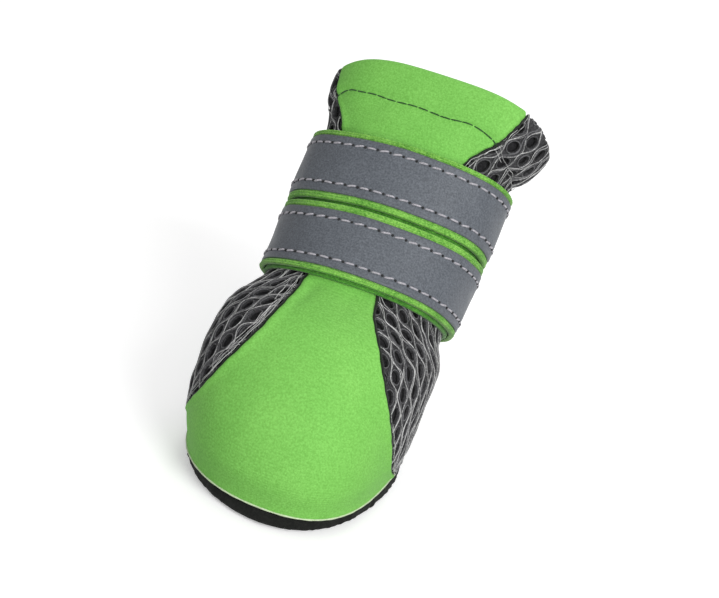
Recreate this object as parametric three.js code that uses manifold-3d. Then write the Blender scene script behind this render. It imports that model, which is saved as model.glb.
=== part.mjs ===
// A soft dog boot, standing empty on its sole. Millimetres, +Z up, toe towards -Y.
// The origin is the middle of the sole's flat underside.
// The shaft leans back from the heel, and two straps go round it, each over a thin loop tape.

import * as THREE from "three";
import Module from "manifold-3d";

const wasm = await Module();
wasm.setup();

// ---- Driving sizes ---------------------------------------------------------------------

const SOLE_LENGTH = 61.6;
const SOLE_WIDTH = 44.6;
const SOLE_THICKNESS = 3.2;
const SOLE_SQUARENESS = 1.98;     // 2 is an ellipse, smaller is more pointed
const TOE_SPRING = 0.5;           // how far the tip of the toe lifts
const TOE_TURN = 4.8;             // how far the tip of the toe curves towards +X
const SPRING_START = 0.52;        // share of the half length where the lift begins

const BALL_WIDTH = 47.4;          // widest part of the foot
const INSTEP_HEIGHT = 42;         // front of the ankle, above the ground
const HEEL_HEIGHT = 20.6;         // back of the ankle, above the ground
const SHAFT_LEAN = 35;            // degrees back from upright
const COLLAR_LENGTH = 16.4;       // shaft above the straps
const COLLAR_DROP = 5;            // how much lower the collar is at its sides and back
const ARCH_START = 0.2;           // radians round from the front where the edge starts to fall
const ARCH_END = 1.7;             // and where it is at its lowest
const UPPER_WALL = 2;

const INSOLE_THICKNESS = 1.6;
const STRAP_WIDTH = 16;
const STRAP_THICKNESS = 1.6;
const STRAP_SPACING = 16.8;       // from one strap's lower edge to the next one's
const STRAP_OVERLAP = 55;         // degrees round the back where the strap closes on itself
const STRAP_TILT = 1.1;           // how much higher the bands sit on the +X side, and lower on the -X side
const TAPE_THICKNESS = 0.9;
const TAPE_PEEK = 0.9;            // how far the loop tape shows below its strap
const GAP = 0.3;                  // between pieces that touch

const GROOVE_PITCH = 6;           // cross grooves that leave the sole's lugs
const GROOVE_WIDTH = 1.6;
const GROOVE_DEPTH = 0.9;
const GROOVE_PAIRS = 3;

// Segments round and along, kept modest.
const AROUND_UPPER = 44;
const AROUND_SOLE = 52;
const AROUND_TAPE = 44;
const STRAP_STEP = 8.2;           // degrees
const RINGS_PER_SECTION = 4;

const HALF_LENGTH = SOLE_LENGTH / 2;
const SOLE_TOP = SOLE_THICKNESS + GAP;

// ---- Sections of the upper -------------------------------------------------------------

// One row for each section of the foot, from the sole up, as shares of the sizes above.
// ahead and behind: where the section's front and back points stand, in half sole lengths.
// rise: height of the front point, between the sole's top and the instep height.
// heel: height of the back point, between the sole's top and the heel height.
// wide: width, as a share of the ball width. mid: where it is widest, from front to back.
const FOOT_SECTIONS = [
  { name: "feather", ahead: -0.97, rise: 0, behind: 0.945, heel: 0, wide: 0.91, mid: 0.5, square: 2.3 },
  { name: "bulge", ahead: -1.02, rise: 0.2, behind: 0.98, heel: 0.26, wide: 0.98, mid: 0.49, square: 2.25 },
  { name: "ball", ahead: -0.885, rise: 0.51, behind: 0.99, heel: 0.56, wide: 1, mid: 0.5, square: 2.25 },
  { name: "vamp", ahead: -0.455, rise: 0.845, behind: 1.04, heel: 0.8, wide: 0.985, mid: 0.53, square: 2.2 },
  { name: "ankle", ahead: 0.106, rise: 1, behind: 1.14, heel: 1, wide: 0.835, mid: 0.565, square: 2.15 },
];

// One row for each section of the shaft, square to its leaning axis.
// along: distance up the shaft from the ankle section. wide: share of the ball width.
// front and back: depth ahead of and behind the axis, as shares of the ankle's depth.
// aside: how far the slack collar hangs over to the +X side.
const STRAPS_END = 2 * STRAP_SPACING;
const COLLAR_MIDDLE = STRAPS_END + COLLAR_LENGTH / 2;
const COLLAR_END = STRAPS_END + COLLAR_LENGTH;
const SHAFT_SECTIONS = [
  { name: "mid straps", along: STRAP_SPACING, aside: 0, wide: 0.865, front: 0.435, back: 0.43, square: 2.15 },
  { name: "straps end", along: STRAPS_END, aside: 0, wide: 0.885, front: 0.39, back: 0.415, square: 2.15 },
  { name: "hem", along: COLLAR_MIDDLE, aside: 1.1, wide: 1.035, front: 0.395, back: 0.43, square: 2.35 },
  { name: "collar", along: COLLAR_END, aside: 2.2, wide: 1.11, front: 0.395, back: 0.445, square: 2.4 },
];

const ANKLE_STATION = FOOT_SECTIONS.length - 1;
const STRAPS_TOP_STATION = ANKLE_STATION + 2;
const COLLAR_STATION = ANKLE_STATION + SHAFT_SECTIONS.length;

const radians = THREE.MathUtils.degToRad;

// A foot section's middle, tilt, half width and depths, from its front and back points.
function footSection(row) {
  const frontY = row.ahead * HALF_LENGTH;
  const frontZ = SOLE_TOP + row.rise * (INSTEP_HEIGHT - SOLE_TOP);
  const backY = row.behind * HALF_LENGTH;
  const backZ = SOLE_TOP + row.heel * (HEEL_HEIGHT - SOLE_TOP);
  const depth = Math.hypot(backY - frontY, backZ - frontZ);
  return {
    x: 0,
    y: frontY + row.mid * (backY - frontY),
    z: frontZ + row.mid * (backZ - frontZ),
    lean: Math.atan2(frontZ - backZ, backY - frontY),
    halfWidth: (row.wide * BALL_WIDTH) / 2,
    front: row.mid * depth,
    back: (1 - row.mid) * depth,
    square: row.square,
  };
}

function shaftSection(row, ankle) {
  const lean = radians(SHAFT_LEAN);
  const depth = ankle.front + ankle.back;
  return {
    x: row.aside,
    y: ankle.y + row.along * Math.sin(lean),
    z: ankle.z + row.along * Math.cos(lean),
    lean,
    halfWidth: (row.wide * BALL_WIDTH) / 2,
    front: row.front * depth,
    back: row.back * depth,
    square: row.square,
  };
}

const footSections = FOOT_SECTIONS.map(footSection);
const ankleSection = footSections[ANKLE_STATION];
const sections = [...footSections, ...SHAFT_SECTIONS.map((row) => shaftSection(row, ankleSection))];

// A section at any station between the rows: station 0 is the first row, 1 the second, and so on.
function sectionAt(station) {
  const last = sections.length - 1;
  const low = Math.min(Math.max(Math.floor(station), 0), last - 1);
  const t = station - low;
  const [a, b, c, d] = [low - 1, low, low + 1, low + 2].map((i) => sections[Math.min(Math.max(i, 0), last)]);
  const section = {};
  for (const key of Object.keys(b)) {
    const slopeIn = (c[key] - a[key]) / 2;
    const slopeOut = (d[key] - b[key]) / 2;
    const bend = 2 * (b[key] - c[key]) + slopeIn + slopeOut;
    const turn = 3 * (c[key] - b[key]) - 2 * slopeIn - slopeOut;
    section[key] = b[key] + t * (slopeIn + t * (turn + t * bend));
  }
  return section;
}

// Toe spring: the lift of the sole and of what stands on it, by how far forward a point is.
function springAt(y) {
  const forward = (-y / HALF_LENGTH - SPRING_START) / (1 - SPRING_START);
  return forward > 0 ? TOE_SPRING * forward * forward : 0;
}

// The toe's curve: how far the sole, and what stands on it, has turned towards +X at y.
function turnAt(y) {
  const forward = Math.max(0, -y / HALF_LENGTH);
  return TOE_TURN * forward * forward;
}

// x across and depth along a rounded outline; angle 0 is the front, 90 degrees the +X side.
function roundedOutline(angle, halfWidth, front, back, square) {
  const power = 2 / square;
  const across = Math.sign(Math.sin(angle)) * halfWidth * Math.abs(Math.sin(angle)) ** power;
  const reach = Math.cos(angle) > 0 ? -front : back;
  return { across, along: reach * Math.abs(Math.cos(angle)) ** power };
}

// A point on the upper's outer face, or grown outwards from it in the section's plane.
function upperPoint(station, angle, grow = 0) {
  const s = sectionAt(station);
  const { across, along } = roundedOutline(angle, s.halfWidth, s.front, s.back, s.square);
  const scale = 1 + grow / Math.hypot(across, along);
  const y = s.y + along * scale * Math.cos(s.lean);
  const springFade = Math.max(0, 1 - station / 2) ** 2;
  const z = s.z - along * scale * Math.sin(s.lean) + springAt(y) * springFade;
  const turnFade = Math.max(0, 1 - (station / ANKLE_STATION) ** 2);
  return new THREE.Vector3(s.x + across * scale + turnAt(y) * turnFade, y, z);
}

// A point on the upper's inner face: the wall is measured square to the outer face.
function liningPoint(station, angle) {
  const step = 0.01;
  const round = upperPoint(station, angle + step).sub(upperPoint(station, angle - step));
  const up = upperPoint(station + step, angle).sub(upperPoint(station - step, angle));
  const normal = round.cross(up).normalize();
  return upperPoint(station, angle).addScaledVector(normal, -UPPER_WALL);
}

// The collar's edge is highest over the instep.
function collarStation(angle) {
  const stationsPerMillimetre = (COLLAR_STATION - STRAPS_TOP_STATION) / COLLAR_LENGTH;
  const share = THREE.MathUtils.smoothstep(Math.abs(angle), ARCH_START, ARCH_END);
  return COLLAR_STATION - COLLAR_DROP * share * stationsPerMillimetre;
}

// ---- Solids from loops of points -------------------------------------------------------

// Joins equal loops, one to the next. "ring" joins the last to the first; "capped" closes both ends.
function solidFromLoops(loops, ends) {
  const count = loops[0].length;
  const points = loops.flat();
  const triangles = [];
  const bridge = (a, b) => {
    for (let i = 0; i < count; i += 1) {
      const j = (i + 1) % count;
      triangles.push([a * count + i, a * count + j, b * count + j]);
      triangles.push([a * count + i, b * count + j, b * count + i]);
    }
  };
  for (let k = 0; k + 1 < loops.length; k += 1) {
    bridge(k, k + 1);
  }
  if (ends === "ring") {
    bridge(loops.length - 1, 0);
  }
  if (ends === "capped") {
    const cap = (k, forward) => {
      const middle = points.length;
      points.push(loops[k].reduce((sum, p) => sum.add(p), new THREE.Vector3()).divideScalar(count));
      for (let i = 0; i < count; i += 1) {
        const j = (i + 1) % count;
        const [a, b] = forward ? [i, j] : [j, i];
        triangles.push([middle, k * count + b, k * count + a]);
      }
    };
    cap(0, true);
    cap(loops.length - 1, false);
  }
  const sixVolumes = triangles
    .map(([a, b, c]) => points[a].dot(points[b].clone().cross(points[c])))
    .reduce((sum, v) => sum + v, 0);
  const outward = sixVolumes > 0 ? triangles : triangles.map(([a, b, c]) => [a, c, b]);
  const geometry = new THREE.BufferGeometry().setFromPoints(points);
  geometry.setIndex(outward.flat());
  return geometry;
}

const anglesRound = (count) => Array.from({ length: count }, (_, i) => (2 * Math.PI * i) / count - Math.PI);

function toManifold(geometry) {
  const vertProperties = new Float32Array(geometry.attributes.position.array);
  const triVerts = new Uint32Array(geometry.index.array);
  return new wasm.Manifold(new wasm.Mesh({ numProp: 3, vertProperties, triVerts }));
}

function fromManifold(solid) {
  const mesh = solid.getMesh();
  const geometry = new THREE.BufferGeometry();
  geometry.setAttribute("position", new THREE.BufferAttribute(mesh.vertProperties, 3));
  geometry.setIndex(new THREE.BufferAttribute(mesh.triVerts, 1));
  return geometry;
}

// ---- Sole and insole -------------------------------------------------------------------

// A flat pad with the sole's outline, lifted at the toe. edge lists the rim from bottom to top.
function padSolid(halfWidth, halfLength, bottom, edge) {
  const innerShares = [0.25, 0.5, 0.75, 0.92];
  const loop = (share, inset, height) =>
    anglesRound(AROUND_SOLE).map((angle) => {
      const wide = (halfWidth - inset) * share;
      const long = (halfLength - inset) * share;
      const { across, along } = roundedOutline(angle, wide, long, long, SOLE_SQUARENESS);
      return new THREE.Vector3(across + turnAt(along), along, bottom + height + springAt(along));
    });
  const under = edge[0];
  const over = edge[edge.length - 1];
  const loops = [
    ...innerShares.map((share) => loop(share, under.inset, under.height)),
    ...edge.map((row) => loop(1, row.inset, row.height)),
    ...[...innerShares].reverse().map((share) => loop(share, over.inset, over.height)),
  ];
  return solidFromLoops(loops, "capped");
}

function outsoleGeometry() {
  const edge = [
    { name: "underside", inset: 0.8, height: 0 },
    { name: "lower rim", inset: 0, height: 0.8 },
    { name: "upper rim", inset: 0, height: 2.6 },
    { name: "top", inset: 0.5, height: SOLE_THICKNESS },
  ];
  let sole = toManifold(padSolid(SOLE_WIDTH / 2, HALF_LENGTH, 0, edge));
  const cutter = new THREE.BoxGeometry(2 * SOLE_WIDTH, GROOVE_WIDTH, 2 * GROOVE_DEPTH).toNonIndexed();
  for (let k = -GROOVE_PAIRS; k < GROOVE_PAIRS; k += 1) {
    const groove = cutter.clone().translate(0, (k + 0.5) * GROOVE_PITCH, 0);
    sole = sole.subtract(toManifold(weldedBox(groove)));
  }
  return fromManifold(sole);
}

// The box's corners shared between its faces, as a closed solid needs.
function weldedBox(box) {
  const position = box.attributes.position;
  const corners = [];
  const index = [];
  for (let i = 0; i < position.count; i += 1) {
    const corner = new THREE.Vector3().fromBufferAttribute(position, i);
    let at = corners.findIndex((other) => other.distanceTo(corner) < 1e-6);
    if (at < 0) {
      at = corners.push(corner) - 1;
    }
    index.push(at);
  }
  const geometry = new THREE.BufferGeometry().setFromPoints(corners);
  geometry.setIndex(index);
  return geometry;
}

function insoleGeometry() {
  const halfWidth = (FOOT_SECTIONS[0].wide * BALL_WIDTH) / 2 - UPPER_WALL - GAP;
  const halfLength = FOOT_SECTIONS[0].behind * HALF_LENGTH - UPPER_WALL - GAP;
  const edge = [
    { name: "underside", inset: 0, height: 0 },
    { name: "top", inset: 0, height: INSOLE_THICKNESS },
  ];
  return padSolid(halfWidth, halfLength, SOLE_TOP, edge);
}

// ---- Upper -----------------------------------------------------------------------------

// One hollow wall, open at the collar and over the sole.
function upperGeometry() {
  const angles = anglesRound(AROUND_UPPER);
  const rings = COLLAR_STATION * RINGS_PER_SECTION;
  const shares = Array.from({ length: rings + 1 }, (_, i) => i / rings);
  const loop = (share, point) => angles.map((angle) => point(share * collarStation(angle), angle));
  const outside = shares.map((share) => loop(share, upperPoint));
  const inside = shares.map((share) => loop(share, liningPoint)).reverse();
  return solidFromLoops([...outside, ...inside], "ring");
}

// ---- Straps and loop tapes ---------------------------------------------------------------

// The station of a distance up the shaft from the ankle section.
const shaftStation = (along) => ANKLE_STATION + along / STRAP_SPACING;

// The four sides of a band's cross-section at one angle, with a few points along its width.
// low and high are stations, moved a little by the band's tilt.
function bandSection(low, high, angle, inner, thickness) {
  const shares = [0, 1 / 3, 2 / 3, 1];
  const shift = (STRAP_TILT * Math.sin(angle)) / STRAP_SPACING;
  const face = (grow) => shares.map((t) => upperPoint(low + t * (high - low) + shift, angle, grow));
  return [...face(inner), ...face(inner + thickness).reverse()];
}

function loopTapeGeometry(along) {
  const low = shaftStation(along - TAPE_PEEK);
  const high = shaftStation(along + STRAP_WIDTH - TAPE_PEEK);
  const loops = anglesRound(AROUND_TAPE).map((angle) => bandSection(low, high, angle, GAP, TAPE_THICKNESS));
  return solidFromLoops(loops, "ring");
}

// The strap starts behind one side, goes once round the front and closes over its own start.
function strapGeometry(along) {
  const low = shaftStation(along);
  const high = shaftStation(along + STRAP_WIDTH);
  const start = 150;
  const climbFrom = 315;
  const climbTo = 352;
  const under = 2 * GAP + TAPE_THICKNESS;
  const turn = 360 + STRAP_OVERLAP;
  const steps = Math.round(turn / STRAP_STEP);
  const loops = [];
  for (let i = 0; i <= steps; i += 1) {
    const gone = (turn * i) / steps;
    const climb = THREE.MathUtils.smoothstep(gone, climbFrom, climbTo);
    const inner = under + climb * (STRAP_THICKNESS + GAP);
    loops.push(bandSection(low, high, radians(start + gone), inner, STRAP_THICKNESS));
  }
  return solidFromLoops(loops, "capped");
}

// ---- The boot --------------------------------------------------------------------------

const finishes = {
  rubber: new THREE.MeshStandardMaterial({ color: 0x1a1a1b, roughness: 0.9, metalness: 0 }),
  footbed: new THREE.MeshStandardMaterial({ color: 0x2b2c2e, roughness: 0.95, metalness: 0 }),
  softshell: new THREE.MeshStandardMaterial({ color: 0x66c552, roughness: 0.8, metalness: 0 }),
  looptape: new THREE.MeshStandardMaterial({ color: 0x4f9a3a, roughness: 0.95, metalness: 0 }),
  reflective: new THREE.MeshStandardMaterial({ color: 0x63646c, roughness: 0.6, metalness: 0 }),
};

const boot = new THREE.Group();

function addPiece(name, geometry, finish) {
  const piece = new THREE.Mesh(geometry, finishes[finish].clone());
  piece.name = name;
  boot.add(piece);
}

addPiece("outsole", outsoleGeometry(), "rubber");
addPiece("insole", insoleGeometry(), "footbed");
addPiece("upper", upperGeometry(), "softshell");

const LOWER_EDGE = 0;             // the lower strap's lower edge, up the shaft from the ankle section
const strapPlaces = { lower: LOWER_EDGE, upper: LOWER_EDGE + STRAP_SPACING };
for (const [place, along] of Object.entries(strapPlaces)) {
  addPiece(`${place}_loop_tape`, loopTapeGeometry(along), "looptape");
  addPiece(`${place}_strap`, strapGeometry(along), "reflective");
}

export default boot;
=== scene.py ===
"""A soft dog boot: a stretch front panel, net sides and back, two reflective straps and a rubber sole.

Every shape is worked out in millimetres, in the CAD's frame: +Z up, the toe towards -Y and the
origin under the middle of the sole. add_piece turns millimetres into Blender's metres.
Angles go round the boot in radians from the front, and +90 degrees is the +X side.
"""

import math

import bpy
import numpy as np
from mathutils import Matrix, Vector
from mathutils.bvhtree import BVHTree


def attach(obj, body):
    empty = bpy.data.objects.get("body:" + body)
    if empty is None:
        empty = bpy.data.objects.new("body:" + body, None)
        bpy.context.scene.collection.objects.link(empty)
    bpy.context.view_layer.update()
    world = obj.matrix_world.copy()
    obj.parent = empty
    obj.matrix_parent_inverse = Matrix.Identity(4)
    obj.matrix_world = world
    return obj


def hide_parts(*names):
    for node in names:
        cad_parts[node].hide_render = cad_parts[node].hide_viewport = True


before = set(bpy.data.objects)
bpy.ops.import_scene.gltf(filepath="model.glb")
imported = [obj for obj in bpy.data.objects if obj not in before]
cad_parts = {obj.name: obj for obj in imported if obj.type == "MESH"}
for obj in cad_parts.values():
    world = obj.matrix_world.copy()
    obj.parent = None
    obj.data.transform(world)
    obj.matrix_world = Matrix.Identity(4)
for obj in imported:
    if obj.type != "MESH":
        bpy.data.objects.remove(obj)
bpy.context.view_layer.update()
chance = np.random.default_rng(11)

METRES = 0.001

# ---- The last, as the CAD has it --------------------------------------------------------

SOLE_LENGTH = 61.6
SOLE_WIDTH = 44.6
SOLE_THICKNESS = 3.2
SOLE_SQUARENESS = 1.98
TOE_SPRING = 0.5
TOE_TURN = 4.8  # how far the toe's tip curves towards +X
SPRING_START = 0.52
BALL_WIDTH = 47.4
INSTEP_HEIGHT = 42
HEEL_HEIGHT = 20.6
SHAFT_LEAN = math.radians(35)
COLLAR_LENGTH = 16.4
COLLAR_DROP = 5
ARCH_START = 0.2
ARCH_END = 1.7
UPPER_WALL = 2
INSOLE_THICKNESS = 1.6
STRAP_WIDTH = 16
STRAP_THICKNESS = 1.6
STRAP_SPACING = 16.8
STRAP_TILT = 1.1  # how much higher the bands sit on the +X side
TAPE_THICKNESS = 0.9
TAPE_PEEK = 0.9
GAP = 0.3
LOWER_EDGE = 0.0
GROOVE_PITCH = 6
GROOVE_WIDTH = 1.6
GROOVE_DEPTH = 0.9
GROOVE_PAIRS = 3
HALF_LENGTH = SOLE_LENGTH / 2
SOLE_TOP = SOLE_THICKNESS + GAP

# Foot sections from the sole up: ahead, rise, behind, heel, wide, mid and square. Ahead and behind
# are in half lengths, rise and heel are shares of the instep and heel heights, and wide of the ball.
FOOT_SECTIONS = (
    (-0.97, 0, 0.945, 0, 0.91, 0.5, 2.3),
    (-1.02, 0.2, 0.98, 0.26, 0.98, 0.49, 2.25),
    (-0.885, 0.51, 0.99, 0.56, 1, 0.5, 2.25),
    (-0.455, 0.845, 1.04, 0.8, 0.985, 0.53, 2.2),
    (0.106, 1, 1.14, 1, 0.835, 0.565, 2.15),
)
# Shaft sections: along, aside, wide, front, back and square.
SHAFT_SECTIONS = (
    (STRAP_SPACING, 0, 0.865, 0.435, 0.43, 2.15),
    (2 * STRAP_SPACING, 0, 0.885, 0.39, 0.415, 2.15),
    (2 * STRAP_SPACING + COLLAR_LENGTH / 2, 1.1, 1.035, 0.395, 0.43, 2.35),
    (2 * STRAP_SPACING + COLLAR_LENGTH, 2.2, 1.11, 0.395, 0.445, 2.4),
)
ANKLE_STATION = len(FOOT_SECTIONS) - 1
COLLAR_STATION = ANKLE_STATION + len(SHAFT_SECTIONS)
COLLAR_STEP = COLLAR_LENGTH / 2  # millimetres in one station of the collar


def foot_section(ahead, rise, behind, heel, wide, mid, square):
    """x, y, z, lean, half width, front depth, back depth and squareness of a foot section."""
    front_y, back_y = ahead * HALF_LENGTH, behind * HALF_LENGTH
    front_z = SOLE_TOP + rise * (INSTEP_HEIGHT - SOLE_TOP)
    back_z = SOLE_TOP + heel * (HEEL_HEIGHT - SOLE_TOP)
    depth = math.hypot(back_y - front_y, back_z - front_z)
    y = front_y + mid * (back_y - front_y)
    z = front_z + mid * (back_z - front_z)
    lean = math.atan2(front_z - back_z, back_y - front_y)
    return (0, y, z, lean, wide * BALL_WIDTH / 2, mid * depth, (1 - mid) * depth, square)


def shaft_section(ankle, along, aside, wide, front, back, square):
    """The same eight numbers for a section of the leaning shaft."""
    depth = ankle[5] + ankle[6]
    y = ankle[1] + along * math.sin(SHAFT_LEAN)
    z = ankle[2] + along * math.cos(SHAFT_LEAN)
    return (aside, y, z, SHAFT_LEAN, wide * BALL_WIDTH / 2, front * depth, back * depth, square)


foot = [foot_section(*row) for row in FOOT_SECTIONS]
sections = np.array(foot + [shaft_section(foot[-1], *row) for row in SHAFT_SECTIONS], float)


def smooth_row(table, station):
    """A row between the table's rows, on the CAD's own smooth curve through them."""
    last = len(table) - 1
    station = np.asarray(station, float)
    low = np.clip(np.floor(station), 0, last - 1).astype(int)
    t = (station - low)[..., None]
    a, b, c, d = (table[np.clip(low + i, 0, last)] for i in (-1, 0, 1, 2))
    slope_in, slope_out = (c - a) / 2, (d - b) / 2
    bend = 2 * (b - c) + slope_in + slope_out
    turn = 3 * (c - b) - 2 * slope_in - slope_out
    return b + t * (slope_in + t * (turn + t * bend))


def spring_at(y):
    """Toe spring: how far the sole, and what stands on it, lifts at y."""
    forward = np.maximum(0, (-y / HALF_LENGTH - SPRING_START) / (1 - SPRING_START))
    return TOE_SPRING * forward**2


def turn_at(y):
    """The toe's curve: how far the sole, and what stands on it, has turned towards +X at y."""
    return TOE_TURN * np.maximum(0, -y / HALF_LENGTH) ** 2


def rounded_outline(angle, half_width, front, back, square):
    """x across and depth along a rounded outline."""
    sine, cosine = np.sin(angle), np.cos(angle)
    across = np.sign(sine) * half_width * np.abs(sine) ** (2 / square)
    along = np.where(cosine > 0, -front, back) * np.abs(cosine) ** (2 / square)
    return across, along


def upper_point(station, angle, grow=0.0):
    """A point on the upper's outer face, or grown outwards from it in the section's plane."""
    station, angle, grow = np.broadcast_arrays(station, angle, grow)
    x, y, z, lean, half_width, front, back, square = np.moveaxis(smooth_row(sections, station), -1, 0)
    across, along = rounded_outline(angle, half_width, front, back, square)
    scale = 1 + grow / np.hypot(across, along)
    y = y + along * scale * np.cos(lean)
    fade = np.maximum(0, 1 - station / 2) ** 2
    z = z - along * scale * np.sin(lean) + spring_at(y) * fade
    turned = turn_at(y) * np.maximum(0, 1 - (station / ANKLE_STATION) ** 2)
    return np.stack([x + across * scale + turned, y, z], -1)


def unit(vectors):
    return vectors / np.linalg.norm(vectors, axis=-1, keepdims=True)


def upper_frame(station, angle):
    """The outward direction and the direction up the surface."""
    step = 0.01
    round_way = upper_point(station, angle + step) - upper_point(station, angle - step)
    up_way = upper_point(station + step, angle) - upper_point(station - step, angle)
    return unit(np.cross(round_way, up_way)), unit(up_way)


def smoothstep(value, low, high):
    t = np.clip((value - low) / (high - low), 0, 1)
    return t * t * (3 - 2 * t)


def collar_station(angle):
    """The collar's edge, highest over the instep."""
    share = smoothstep(np.abs(np.asarray(wrapped(angle))), ARCH_START, ARCH_END)
    return COLLAR_STATION - COLLAR_DROP * share / COLLAR_STEP


def below_collar(station, angle):
    """The same station, or the collar's edge if that is lower."""
    return np.minimum(station, collar_station(angle))


def wrapped(angle):
    """The same direction between -180 and 180 degrees."""
    return (np.asarray(angle) + math.pi) % (2 * math.pi) - math.pi


def band_station(along, angle):
    """Station of a distance up the shaft, on a band that tilts across the boot."""
    return ANKLE_STATION + (along + STRAP_TILT * np.sin(angle)) / STRAP_SPACING


# ---- The cloth's surface: creases, turned collar and tucked lower edge ------------------------

# Soft troughs, each from one place to another: station and degrees round at each end,
# then half width and depth. A negative depth is a ridge.
CREASES = (
    # front panel
    (3.98, -7, 3.3, -11, 1.9, 0.4),
    (3.98, 9, 3.45, 15, 1.7, 0.35),
    (2.9, -8, 1.7, -24, 4.5, 0.4),
    (2.6, 14, 1.3, 30, 5.0, -0.4),
    (6.1, -26, 6.1, 30, 1.9, 0.45),
    (6.35, -30, 7.6, -12, 3.6, 0.45),
    (6.9, 10, 7.7, 36, 3.4, -0.5),
    # net beside the straps
    (3.95, 44, 3.0, 58, 1.4, 0.6),
    (3.95, 70, 3.2, 82, 1.6, 0.7),
    (3.95, 104, 3.2, 108, 1.6, 0.6),
    (3.95, -34, 3.1, -30, 1.4, 0.5),
    (3.95, -62, 3.1, -66, 1.6, 0.7),
    (3.95, -98, 3.2, -96, 1.6, 0.6),
    (2.0, 84, 1.2, 104, 2.2, 0.45),
    (2.2, -64, 1.1, -92, 2.2, 0.45),
    # slack net of the collar
    (6.05, 58, 7.0, 66, 2.0, 0.45),
    (6.1, 84, 7.2, 78, 2.2, 0.5),
    (6.1, 112, 6.9, 118, 2.0, 0.5),
    (7.6, 72, 7.4, 100, 2.4, -0.4),
    (6.05, -52, 7.0, -62, 1.9, 0.5),
    (6.1, -88, 7.0, -84, 2.0, 0.5),
    (6.1, -122, 7.0, -128, 2.2, 0.5),
    (6.1, 146, 7.0, 152, 2.2, 0.5),
    (6.1, 178, 6.9, 182, 2.2, 0.45),
    # folds across the back of the heel
    (3.4, 140, 3.3, 220, 1.5, 0.8),
    (2.5, 150, 2.4, 206, 1.8, 0.6),
    (1.5, 128, 2.2, 158, 2.2, 0.4),
)
CREASE_STEPS = 14
CREASE_REACH = 6  # in half widths
SHOULDER_WIDTH = 2.2  # the raised sides of a trough, in half widths
SHOULDER_HEIGHT = 0.45
RIM_RADIUS = UPPER_WALL / 2
TUCK = 1.9  # millimetres that the lower edge turns in over the sole
FOOT_STEP = 8.0  # millimetres in the lowest station
SOLE_OVERHANG = 0.55  # the cloth swells out over the sole's edge
OVERHANG_HEIGHT = 2.6
STRAPS_TAKE_HOLD = (3.82, 3.94)  # going up, the stations where the straps begin to press the cloth
STRAPS_LET_GO = (5.98, 6.1)


def crease_height(station, angle):
    """How far the listed creases move the wall outwards."""
    here = upper_point(station, angle)
    height = np.zeros(here.shape[:-1])
    for from_station, from_degrees, to_station, to_degrees, half_width, depth in CREASES:
        share = (np.arange(CREASE_STEPS) + 0.5) / CREASE_STEPS
        stations = from_station + share * (to_station - from_station)
        angles = np.radians(from_degrees + share * (to_degrees - from_degrees))
        spots = upper_point(stations, angles)
        spacing = np.linalg.norm(np.diff(spots, axis=0), axis=1).mean()
        taper = np.sin(math.pi * share) ** 0.5
        reach = spacing * CREASE_STEPS / 2 + CREASE_REACH * half_width
        near = np.linalg.norm(here - spots.mean(0), axis=-1) < reach
        if not near.any():
            continue
        gap = ((here[near][:, None, :] - spots) ** 2).sum(-1)
        shoulder = SHOULDER_WIDTH * half_width
        for width, weight in ((half_width, -depth), (shoulder, SHOULDER_HEIGHT * depth)):
            spread = (taper * np.exp(-gap / width**2)).sum(-1)
            height[near] += weight * spread * spacing / (width * math.sqrt(math.pi))
    overhang = SOLE_OVERHANG * np.exp(-((station * FOOT_STEP / OVERHANG_HEIGHT) ** 2))
    return height * outside_straps(station, angle) + overhang


def outside_straps(station, angle):
    """1 where the cloth is free, and 0 where the straps hold it."""
    level = station - STRAP_TILT * np.sin(angle) / STRAP_SPACING
    held = smoothstep(level, *STRAPS_TAKE_HOLD)
    return 1 - held * (1 - smoothstep(level, *STRAPS_LET_GO))


def cloth_point(station, angle, lift):
    """A point on the cloth, lift above the wall's outer face.

    Stations past the collar's edge go over its rounded rim and down the inside.
    Stations under 0 turn in over the sole.
    """
    station, angle, lift = np.broadcast_arrays(station, angle, lift)
    top = collar_station(angle)
    past = np.maximum(station - top, 0) * COLLAR_STEP
    turn = np.minimum(past / RIM_RADIUS, math.pi)
    down = np.maximum(past - math.pi * RIM_RADIUS, 0) / COLLAR_STEP
    base = np.clip(station, 0, top) - down
    tucked = TUCK * (1 - np.exp(np.minimum(station, 0) * FOOT_STEP / TUCK))
    out, up = upper_frame(base, angle)
    point = upper_point(base, angle)
    middle = point + (crease_height(base, angle) - RIM_RADIUS - tucked)[..., None] * out
    spoke = np.cos(turn)[..., None] * out + np.sin(turn)[..., None] * up
    return middle + (RIM_RADIUS + lift)[..., None] * spoke


def cloth_out(station, angle):
    """The direction away from the cloth, also over the rim and inside."""
    return unit(cloth_point(station, angle, 1.0) - cloth_point(station, angle, 0.0))


# ---- Panel outlines ------------------------------------------------------------------------

# The front panel's two seams, in degrees round from the front at stations 0 to 8.
LEFT_SEAM = (-100, -69.5, -41.5, -18, -19, -31, -47, -60, -66)
RIGHT_SEAM = (95, 83, 68, 42, 25, 30, 38, 44, 47)
SEAMS = np.array((LEFT_SEAM, RIGHT_SEAM), float).T
# The collar's hem line: degrees round, and millimetres below the edge.
HEM_DEGREES = (-180, -90, -64, -46, -14, 8, 24, 38, 53, 90, 180)
HEM_DEPTHS = (8.0, 7.0, 6.6, 6.0, 7.6, 8.1, 7.2, 7.2, 9.0, 8.6, 8.0)
HEM_INSIDE = 8.0  # how far the cloth turned over the collar goes down inside
HEM_START = 6.2  # the station above which the hem shows
FURROW_DEPTH, FURROW_WIDTH = 0.32, 0.55
DOUBLED_CLOTH = 0.28  # how much thicker the cloth is above the hem line
SEAM_RAG = 0.0026  # radians


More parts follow.
